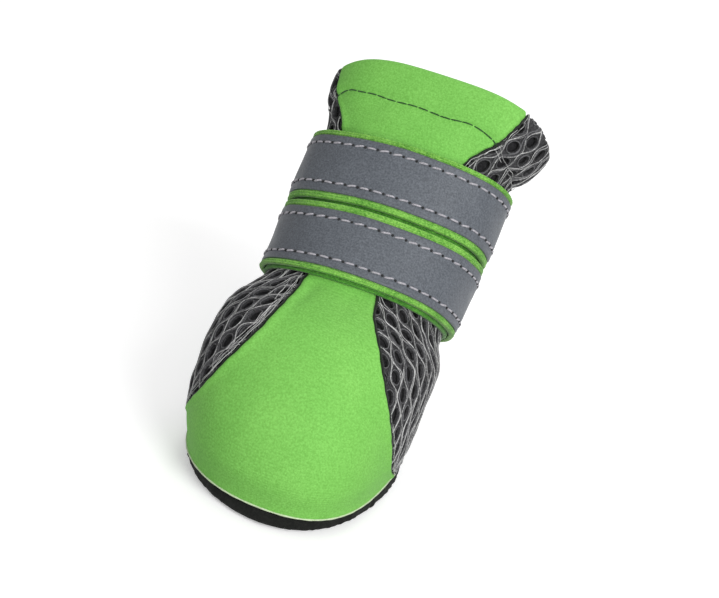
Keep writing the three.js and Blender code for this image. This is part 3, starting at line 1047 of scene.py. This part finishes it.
def streak_lines():
    """Where pulled filaments with painted glints run: beside the seams and along the hem, as stations
    and angles.
    """
    beside = [(0, 0.55 + 0.5 * k, 0.35 + 0.4 * k, 3.95) for k in range(4)]
    beside += [(1, 0.5 + 0.45 * k, 0.1, 2.4 - 0.6 * k) for k in range(3)]
    beside += [(1, 0.5 + 0.4 * k, 6.0, 7.9) for k in range(2)]
    for seed, (side, beyond, low, high) in enumerate(beside):
        stations = np.linspace(low, high, 150)
        wander = beyond + wobble(stations * STATION_STEP, 0.22, 5, 20 + seed)
        yield stations, seam_line(side, wander, stations)
    left, right = seam_angles(HEM_STATION)
    angle = np.linspace(right + 0.03, left + 2 * math.pi - 0.03, 420)
    for seed, above in enumerate((-0.35, 0.3)):
        raised = above + wobble(angle * 20, 0.2, 5, 50 + seed)
        yield collar_station(angle) - (hem_below(angle) - raised) / COLLAR_STEP, angle


def seam_streaks(material):
    """Pulled filaments, pale as painted glints, broken into short lengths."""
    parts, tones = [], []
    for stations, angle in streak_lines():
        count = 22
        for start in range(0, len(stations) - count, count - 4):
            if chance.uniform() < 0.3:
                continue
            span = slice(start, start + count)
            taper = 0.07 * np.sin(math.pi * np.linspace(0.06, 0.94, count)) ** 0.4
            parts.append(cord(stations[span], angle[span], 0.24, taper, 5))
            # each length's painted glint is brighter or dimmer at random
            tones.append(np.full(count * 5, chance.uniform(0.2, 1)))
    add_piece("seam_glint_filaments", joined(parts), material, tone=np.concatenate(tones))


def hem_stitches(material):
    """A wavering dark green running stitch along the front panel's hem."""
    left, right = seam_angles(HEM_STATION)
    angle = np.linspace(left - 0.03, right + 0.05, 600)
    station = collar_station(angle) - (hem_below(angle) + wobble(angle * 23, 0.25, 9, 5)) / COLLAR_STEP
    travelled = arc_lengths(cloth_point(station, angle, 0.0))
    length, stitches, count = 2.3, 17, 9
    parts = []
    starts = np.linspace(0, travelled[-1] - length, stitches)
    for start in starts + chance.uniform(-0.12, 0.12, stitches):
        spots = start + length * np.linspace(0, 1, count)
        at_angle = np.interp(spots, travelled, angle)
        at_station = np.interp(spots, travelled, station)
        dip = 0.2 * np.abs(np.linspace(-1, 1, count)) ** 3
        on_panel = past_seam(at_station, at_angle) < 0
        lift = seam_puff(at_station, at_angle) * on_panel - 0.16 - dip
        parts.append(cord(at_station, at_angle, lift, 0.15, 6))
    add_piece("hem_stitches", joined(parts), material)


def feather_bead(material):
    """The pale edge line where the front panel meets the sole: a thin cord whose pale colour is partly
    a glue line and partly a painted highlight on the edge.
    """
    angle = np.linspace(*seam_angles(0.0), 260)
    thick = 0.19 + 0.04 * np.sin(angle * 37) * np.sin(angle * 11)
    shape = cord(np.full_like(angle, 0.05), angle, 0.02, thick, 8)
    add_piece("feather_bead", shape, material)


# ---- Straps --------------------------------------------------------------------------------------

STRAP_START = 150  # degrees round from the front
STRAP_TURN = 415  # degrees that a strap goes round, over its own start
CLIMB = (315, 352)  # degrees gone, where it climbs onto its start
SWAY = (0.18, 24, 31)  # a strap's size, wave and seed of wobble from side to side
FILM_INSET = 0.8  # from the tape's ends to the film's
STRAP_UNDER = 2 * GAP + TAPE_THICKNESS
FILM_HALF = 6.5
STITCH_LINE = 4.45
BASE_HEIGHT = 0.78
FILM_TOP = 1.42
RIB_PLACES = (7.66, 7.04)
RIB_HALF = 0.31
RIB_HEIGHT = 0.5
RIB_PITCH = 0.95
SECTION_STEP = 0.36
STITCH_PITCH = 3.0
STITCH_LENGTH = 2.05
STITCH_RADIUS = 0.23
NEEDLE_HOLE_RADIUS = 0.36
NEEDLE_HOLE_REACH = 0.28


class Strap:
    """A strap closed round the shaft; along is how far up the shaft its lower edge lies."""

    def __init__(self, along):
        self.along = along
        self.gone = np.linspace(0, STRAP_TURN, 1600)
        self.ruler = arc_lengths(self.turned(self.gone, 0.0, STRAP_THICKNESS))
        self.total = self.ruler[-1]

    def turned(self, gone, across, height):
        """A point some degrees gone from the start, across the width and above the inner face."""
        angle = np.radians(STRAP_START + gone)
        climb = smoothstep(gone, *CLIMB) * (STRAP_THICKNESS + GAP)
        station = band_station(self.along + STRAP_WIDTH / 2 + across, angle)
        return upper_point(station, angle, STRAP_UNDER + climb + height)

    def point(self, travelled, across, height):
        """A point some millimetres travelled along the strap, which sways a little."""
        gone = np.interp(travelled, self.ruler, self.gone)
        return self.turned(gone, across + wobble(travelled, *SWAY), height)


def corner_scale(travelled, total, half, radius):
    """Narrows a strip at both ends so that its corners are round."""
    left = np.minimum(travelled, total - travelled)
    short = np.maximum(0, radius - left)
    return (half - radius + np.sqrt(radius**2 - short**2)) / half


def rib_profile(across, travelled, seed):
    """Height of the woven tape: flat in the middle, with two corded ribs along each edge."""
    height = BASE_HEIGHT + 0 * travelled + 0 * across
    beat = 0.06 * np.sin(2 * math.pi * travelled / RIB_PITCH + seed)
    for place in RIB_PLACES:
        share = np.clip(1 - ((np.abs(across) - place) / RIB_HALF) ** 2, 0, 1)
        height = height + np.sqrt(share) * (RIB_HEIGHT + beat - 0.1)
    return height - 0.45 * smoothstep(np.abs(across), 7.85, 8.0)


def across_places():
    """Places across a tape, close together over the ribs."""
    edge = np.linspace(6.62, 8.0, 14)
    return np.concatenate([-edge[::-1], np.linspace(-5.2, 5.2, 7), edge])


def strap_base(place, strap, material):
    """The green woven tape of a strap."""
    travelled = np.arange(0, strap.total, SECTION_STEP)[:, None]
    across = across_places()[None, :]
    narrowed = across * corner_scale(travelled, strap.total, STRAP_WIDTH / 2, 2.6)
    outer = strap.point(travelled, narrowed, rib_profile(across, travelled, 0.0))
    inner = strap.point(travelled, narrowed, 0.0)
    shape = thick_sheet(outer, inner)
    add_piece(f"{place}_strap_tape", shape, material, (f"{place}_strap",))


def film_height(across, travelled):
    """The film's top face: soft crown, dented along both stitch rows and at its edges."""
    from_row = np.abs(across) - STITCH_LINE
    dent = 0.16 * np.exp(-((from_row / 0.35) ** 2))
    edge = 0.3 * smoothstep(np.abs(across), FILM_HALF - 0.35, FILM_HALF)
    waves = 0.05 * np.sin(travelled * 0.55 + 1.2 * np.sin(across * 0.5))
    pinch = 0.05 * np.cos(2 * math.pi * travelled / STITCH_PITCH) * np.exp(-((from_row / 0.7) ** 2))
    return FILM_TOP - dent - edge + waves + pinch + 0.08 * np.cos(across * math.pi / 2 / FILM_HALF)


def strap_film(place, strap, material):
    """The grey reflective film sewn on the strap."""
    travelled = np.arange(FILM_INSET, strap.total - FILM_INSET, 0.5)[:, None]
    edge = np.linspace(FILM_HALF - 1.9, FILM_HALF, 12)
    across = np.concatenate([-edge[::-1], np.linspace(-3.4, 3.4, 9), edge])[None, :]
    length = strap.total - 2 * FILM_INSET
    narrowed = across * corner_scale(travelled - FILM_INSET, length, FILM_HALF, 1.8)
    outer = strap.point(travelled, narrowed, film_height(across, travelled))
    inner = strap.point(travelled, narrowed, BASE_HEIGHT - 0.1)
    add_piece(f"{place}_reflective_film", thick_sheet(outer, inner), material)


def strap_stitches(place, strap, thread, pit):
    """Two rows of long stitches, and between them near-black capsules that paint the shade in the
    needle holes.
    """
    spread = np.linspace(-1, 1, 9)
    stitches, holes = [], []
    for row in (-1, 1):
        for start in np.arange(2.2 + 0.4 * row, strap.total - 3.4, STITCH_PITCH):
            slant = chance.uniform(-0.16, 0.16) + 0.1
            travelled = start + STITCH_LENGTH * (spread + 1) / 2
            across = row * STITCH_LINE + slant * spread
            height = FILM_TOP + 0.1 - 0.3 * np.abs(spread) ** 4
            stitches.append([strap.point(travelled, across, height + above) for above in (0, 1)])
            gap_middle = start - (STITCH_PITCH - STITCH_LENGTH) / 2
            spot = gap_middle + np.linspace(-NEEDLE_HOLE_REACH, NEEDLE_HOLE_REACH, 5)
            levels = (FILM_TOP - 0.1, FILM_TOP + 1)
            holes.append([strap.point(spot, row * STITCH_LINE, level) for level in levels])
    stitch_thick = STITCH_RADIUS * (1 - 0.45 * np.abs(spread) ** 5)
    hole_thick = NEEDLE_HOLE_RADIUS * np.array((0.45, 0.85, 1, 0.85, 0.45))
    for name, pairs, thick, sides, material in (
        ("stitches", stitches, stitch_thick, 8, thread),
        ("needle_holes", holes, hole_thick, 7, pit),
    ):
        paths, over = np.moveaxis(np.array(pairs), 1, 0)
        shape = tubes(paths, unit(over - paths), thick, sides)
        add_piece(f"{place}_strap_{name}", shape, material)


def loop_tape(place, along, material):
    """The loop tape under a strap, seen as a ribbed edge below it; its darker green is painted shade
    from the strap above.
    """
    angle = np.linspace(-math.pi, math.pi, 340, endpoint=False)[:, None]
    across = across_places()[None, :]
    station = band_station(along - TAPE_PEEK + STRAP_WIDTH / 2 + across, angle)
    ribs_round = 130
    travelled = angle / (2 * math.pi) * ribs_round * RIB_PITCH
    height = rib_profile(across, travelled, 1.0) * TAPE_THICKNESS / (BASE_HEIGHT + RIB_HEIGHT)
    outer = upper_point(station, angle, GAP + height)
    inner = upper_point(station, angle, GAP)
    shape = thick_sheet(outer, inner, ring=True)
    add_piece(f"{place}_loop_band", shape, material, (f"{place}_loop_tape",))


# ---- Sole and insole -----------------------------------------------------------------------------


ROUND_RADIUS = 26  # turns radians into about millimetres along the sole's edge
NOTCH_PITCH = 4.4
NOTCH_DEPTH = 0.4


def pad_rows(half_long):
    """Angles from toe to heel for the pad's cross rows, with rows on each groove's two edges."""
    even = np.linspace(0, math.pi, 92)[1:-1]
    middles = (np.arange(-GROOVE_PAIRS, GROOVE_PAIRS) + 0.5) * GROOVE_PITCH
    reaches = [side * (GROOVE_WIDTH / 2 + slope) for side in (-1, 1) for slope in (-0.12, 0.12)]
    edges = np.add.outer(middles, reaches).ravel()
    share = np.abs(edges) / half_long
    extra = np.arccos(-np.sign(edges) * share ** (SOLE_SQUARENESS / 2))
    return np.sort(np.concatenate([even, extra]))


def pad_shape(half_wide, half_long, edge, columns, under, over):
    """A closed pad: an under and an over face in cross rows, and (inset, height, rough) edge rings."""
    angles = pad_rows(half_long)
    rows = len(angles)
    side = np.linspace(-1, 1, columns)

    def outline(angles, inset):
        depth = half_long - inset
        return rounded_outline(angles, half_wide - inset, depth, depth, SOLE_SQUARENESS)

    def face(inset, height_of):
        across, along = outline(angles, inset)
        x = across[:, None] * side
        y = np.broadcast_to(along[:, None], x.shape)
        body = np.stack([x + turn_at(y), y, height_of(x, y)], -1).reshape(-1, 3)
        tips = np.array((inset - half_long, half_long - inset))
        ends = np.column_stack([turn_at(tips), tips, height_of(0 * tips, tips)])
        return np.concatenate([body, ends])

    number = np.arange(rows * columns).reshape(rows, columns)
    toe, heel = rows * columns, rows * columns + 1
    ring = np.concatenate([[toe], number[:, -1], [heel], number[::-1, 0]])
    around = np.concatenate([[0], angles, [math.pi], -angles[::-1]])
    travelled = around * ROUND_RADIUS
    blocks = [face(edge[0][0], under), face(edge[-1][0], over)]
    size = len(blocks[0])
    loops = [ring]
    start = 2 * size
    for inset, height, rough in edge[1:-1]:
        across, along = outline(around, inset)
        jag = wobble(travelled, rough, 2.1, 41) + wobble(travelled, rough * 0.7, 0.9, 42)
        scale = 1 + jag / np.maximum(np.hypot(across, along), 1)
        lift = wobble(travelled, rough * 0.8, 3.3, int(43 + 10 * height))
        x, y = across * scale, along * scale
        z = np.maximum(height + lift * (height > 0.5), 0) + spring_at(y)
        blocks.append(np.stack([x + turn_at(y), y, z], -1))
        loops.append(start + np.arange(len(around)))
        start += len(around)
    loops.append(ring + size)
    faces = []
    for low, high in zip(loops, loops[1:]):
        a, b = low, np.roll(low, -1)
        faces.append(np.stack([a, b, np.roll(high, -1), high], -1))
    flat = grid_faces(rows, columns)
    toe_fan = np.stack([np.full(columns - 1, toe), number[0, 1:], number[0, :-1]], -1)
    heel_fan = np.stack([np.full(columns - 1, heel), number[-1, :-1], number[-1, 1:]], -1)
    for offset, way in ((0, 1), (size, -1)):
        faces += [flat[:, ::-way] + offset, toe_fan[:, ::-way] + offset, heel_fan[:, ::-way] + offset]
    return np.concatenate(blocks), faces


def outsole(material):
    """The rubber sole: cross grooves, small notches on the lugs and a slightly rough cut edge."""

    def under(x, y):
        nearest = np.abs((y / GROOVE_PITCH) % 1 - 0.5) * GROOVE_PITCH
        grooved = np.abs(y) < GROOVE_PAIRS * GROOVE_PITCH
        wall = smoothstep(nearest, GROOVE_WIDTH / 2 - 0.13, GROOVE_WIDTH / 2 + 0.13)
        groove = GROOVE_DEPTH * (1 - wall) * grooved
        lug = np.floor(y / GROOVE_PITCH + 0.5)
        notch_at = np.abs((x / NOTCH_PITCH + 0.5 * (lug % 2)) % 1 - 0.5) * NOTCH_PITCH
        on_lug = (nearest > 0.95) * (np.abs(y) < 27)
        notch = NOTCH_DEPTH * (1 - smoothstep(notch_at, 0.35, 0.8)) * on_lug
        return np.maximum(groove, notch) + spring_at(y)

    def over(_, y):
        return SOLE_THICKNESS + spring_at(y)

    edge = (
        (0.8, 0, 0),
        (0.3, 0.28, 0.1),
        (0, 0.9, 0.14),
        (0.03, 1.6, 0.12),
        (0, 2.4, 0.12),
        (0.2, 2.95, 0.08),
        (0.5, SOLE_THICKNESS, 0),
    )
    shape = pad_shape(SOLE_WIDTH / 2, HALF_LENGTH, edge, 101, under, over)
    add_piece("rubber_outsole", shape, material, ("outsole",))


def insole(material):
    """The footbed: a thin pad, a little hollow under the paw and rounded at its edge."""
    half_wide = FOOT_SECTIONS[0][4] * BALL_WIDTH / 2 - UPPER_WALL - GAP
    half_long = FOOT_SECTIONS[0][2] * HALF_LENGTH - UPPER_WALL - GAP
    top = SOLE_TOP + INSOLE_THICKNESS

    def under(_, y):
        return SOLE_TOP + spring_at(y)

    def over(x, y):
        out = (x / half_wide) ** 2 + (y / half_long) ** 2
        weave = 0.05 * np.sin(x * 1.9) * np.sin(y * 1.9)
        return top - 0.35 * (1 - out) + weave + spring_at(y)

    edge = ((0.2, SOLE_TOP, 0), (0, SOLE_TOP + 0.3, 0), (0, SOLE_TOP + 1.2, 0), (0.4, top, 0))
    shape = pad_shape(half_wide, half_long, edge, 41, under, over)
    add_piece("footbed", shape, material, ("insole",))


# ---- Building the boot ----------------------------------------------------------------------------


def build_net():
    """The net in its two stretches: pierced ground, bound holes, yarns, and fine filaments coloured
    near white as painted glints.
    """
    ground = net_yarn("net_ground_knit", (0.006, 0.006, 0.007), (0.075, 0.075, 0.079), 0.8, 0.05)
    yarn = net_yarn("net_yarn", (0.012, 0.012, 0.014), (0.16, 0.16, 0.168), 0.6, 0.1)
    # the filaments' near-white colour is a painted glint: it stands for the highlights on shiny yarn
    filament = net_yarn("net_glint_filament", (0.045, 0.045, 0.048), (0.82, 0.82, 0.81), 0.45, 0.1)
    sheets, rims, yarns, filaments = [], [], [], []
    for chart in (NetChart(*FOOT_NET), NetChart(*COLLAR_NET)):
        hole, border = cell_rings(chart, *net_cells(chart))
        sheets.append(net_sheet(chart, hole, border))
        rims.append(net_rims(chart, hole, border))
        yarns += net_runs(chart, 4, (0.5, 1.1), 0.5)
        filaments += net_runs(chart, 2, (0.45, 1.2), 0.5)
    sheet, rim = joined(sheets), joined(rims)
    add_piece("net_ground", sheet, ground, tone=chance.uniform(0, 0.5, len(sheet[0])))
    tone = np.repeat(chance.uniform(0, 1, len(rim[0]) // (4 * RIM_POINTS)), 4 * RIM_POINTS)
    add_piece("net_rims", rim, yarn, tone=tone)
    yarn_piece("net_yarns", yarns, 0.0, 0.08, 0.12, yarn)
    yarn_piece("net_glint_filaments", filaments, 0.13, 0.06, 0.065, filament)
    seam_streaks(filament)


def build_upper():
    dark = dark_cloth("backing_cloth", (0.009, 0.009, 0.010), (0.026, 0.026, 0.028), 0.5)
    # the seam thread's near-black colour is partly thread and partly painted shade in the seam's groove
    thread = sewing_thread("seam_shade_thread", (0.001, 0.002, 0.001), (0.006, 0.012, 0.005), 0.8)
    hem_thread = sewing_thread("hem_thread", (0.003, 0.035, 0.002), (0.01, 0.09, 0.006), 0.7)
    # the feather cord's pale colour is partly a glue line and partly a painted highlight along the
    # panel's lower edge
    edging = sewing_thread("edge_cord_highlight", (0.45, 0.60, 0.30), (0.72, 0.82, 0.60), 0.6)
    front_panel(front_cloth())
    lining(dark)
    build_net()
    seam_shade_threads(thread)
    hem_stitches(hem_thread)
    feather_bead(edging)


def build_straps():
    base = woven_edge("strap_weave", (0.06, 0.26, 0.02), (0.33, 0.70, 0.13))
    # the loop tape's darker green is painted shade from the strap's overhang
    pile = woven_edge("loop_pile_shade", (0.02, 0.13, 0.01), (0.13, 0.42, 0.05))
    film = reflective_film()
    thread = sewing_thread("strap_thread", (0.27, 0.26, 0.29), (0.56, 0.54, 0.58), 0.55)
    # near-black capsules on the film: painted shade for the needle holes
    pit = sewing_thread("needle_hole_shade", (0.008, 0.008, 0.009), (0.02, 0.02, 0.022), 0.9)
    for place, along in (("lower", LOWER_EDGE), ("upper", LOWER_EDGE + STRAP_SPACING)):
        strap = Strap(along)
        loop_tape(place, along, pile)
        strap_base(place, strap, base)
        strap_film(place, strap, film)
        strap_stitches(place, strap, thread, pit)


# ---- Floor, light and camera ----------------------------------------------------------------------


def add_floor():
    size = 3.0
    mesh = bpy.data.meshes.new("floor")
    corners = [(-size, -size, 0), (size, -size, 0), (size, size, 0), (-size, size, 0)]
    mesh.from_pydata(corners, [], [(0, 1, 2, 3)])
    mesh.materials.append(floor_finish())
    floor = bpy.data.objects.new("floor", mesh)
    bpy.context.scene.collection.objects.link(floor)
    floor.visible_diffuse = False  # its bounce would wash out the boot's shaded side


def direction(azimuth, elevation):
    """Towards a place seen from the boot; azimuth 0 is in front of the toe, 90 on its +X side."""
    a, e = math.radians(azimuth), math.radians(elevation)
    return Vector((math.sin(a) * math.cos(e), -math.cos(a) * math.cos(e), math.sin(e)))


def add_light(name, azimuth, elevation, distance, size, power):
    light = bpy.data.lights.new(name, "AREA")
    light.shape = "DISK"
    light.size = size
    light.energy = power
    lamp = bpy.data.objects.new(name, light)
    way = direction(azimuth, elevation)
    lamp.location = way * distance + Vector((0, 0.015, 0.03))
    lamp.rotation_euler = way.to_track_quat("Z", "Y").to_euler()
    bpy.context.scene.collection.objects.link(lamp)


def add_lights():
    world = bpy.data.worlds.new("studio")
    world.use_nodes = True
    background = world.node_tree.nodes["Background"]
    background.inputs["Color"].default_value = (1.0, 1.0, 1.0, 1)
    background.inputs["Strength"].default_value = 0.36
    bpy.context.scene.world = world
    add_light("key", 52, 30, 0.9, 0.5, 4.9)
    add_light("top", 0, 80, 1.0, 0.8, 1.2)
    add_light("low front", 20, 7, 0.9, 0.4, 2.1)
    add_light("back", 180, 35, 1.0, 0.6, 3.0)
    bpy.context.scene.view_settings.view_transform = "Standard"


CAMERA_AZIMUTH = 16.3
CAMERA_ELEVATION = 23.2
CAMERA_ROLL = math.radians(13)
CAMERA_DISTANCE = 400
CAMERA_LENS = 93
CAMERA_AIM = Vector((2.2, 15, 34))


def add_camera():
    back = direction(CAMERA_AZIMUTH, CAMERA_ELEVATION)
    level = Vector((math.cos(math.radians(CAMERA_AZIMUTH)), math.sin(math.radians(CAMERA_AZIMUTH)), 0))
    upright = back.cross(level)
    right = math.cos(CAMERA_ROLL) * level + math.sin(CAMERA_ROLL) * upright
    above = -math.sin(CAMERA_ROLL) * level + math.cos(CAMERA_ROLL) * upright
    camera = bpy.data.objects.new("camera", bpy.data.cameras.new("camera"))
    camera.data.lens = CAMERA_LENS
    camera.data.clip_start = 0.01
    place = (CAMERA_AIM + CAMERA_DISTANCE * back) * METRES
    turn = Matrix((right, above, back)).transposed().to_4x4()
    camera.matrix_world = Matrix.Translation(place) @ turn
    bpy.context.scene.collection.objects.link(camera)
    bpy.context.scene.camera = camera


add_camera()
add_lights()
add_floor()
outsole(sole_rubber())
insole(dark_cloth("footbed_cloth", (0.016, 0.016, 0.018), (0.05, 0.05, 0.054), 0.6))
build_upper()
build_straps()
